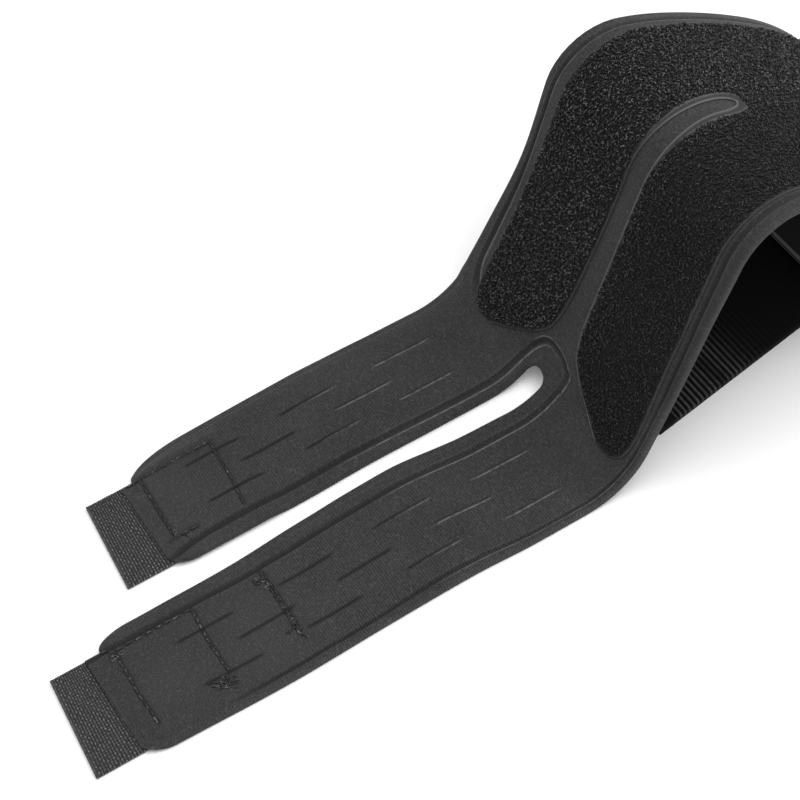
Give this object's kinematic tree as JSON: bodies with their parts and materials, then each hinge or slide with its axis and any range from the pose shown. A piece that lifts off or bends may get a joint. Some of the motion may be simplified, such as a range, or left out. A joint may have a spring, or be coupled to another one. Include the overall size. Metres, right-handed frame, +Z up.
{
  "type": "wrist wrap",
  "caption": "Moulded cloth wrist wrap lying open: paired tongues with webbing tails lie flat, and a wide loop-faced part arches over the wrist space.",
  "frame": {"origin": "middle of the footprint, on the surface that the wrap lies on", "axes": "+Z up, +X along the wrap from the tongues' tails towards the arched part, +Y across it"},
  "size_m": [0.223, 0.0672, 0.0664],
  "materials": {
    "body_cloth": "matte moulded knit",
    "loop_pile": "curly loop pile",
    "tail_webbing": "plain woven webbing",
    "ribbed_webbing": "ribbed elastic webbing"
  },
  "bodies": {
    "root": {"body": "body_cloth", "loop_panel": "loop_pile", "tail_far": "tail_webbing", "tail_near": "tail_webbing", "ribbed_strap": "ribbed_webbing"}
  },
  "joints": []
}
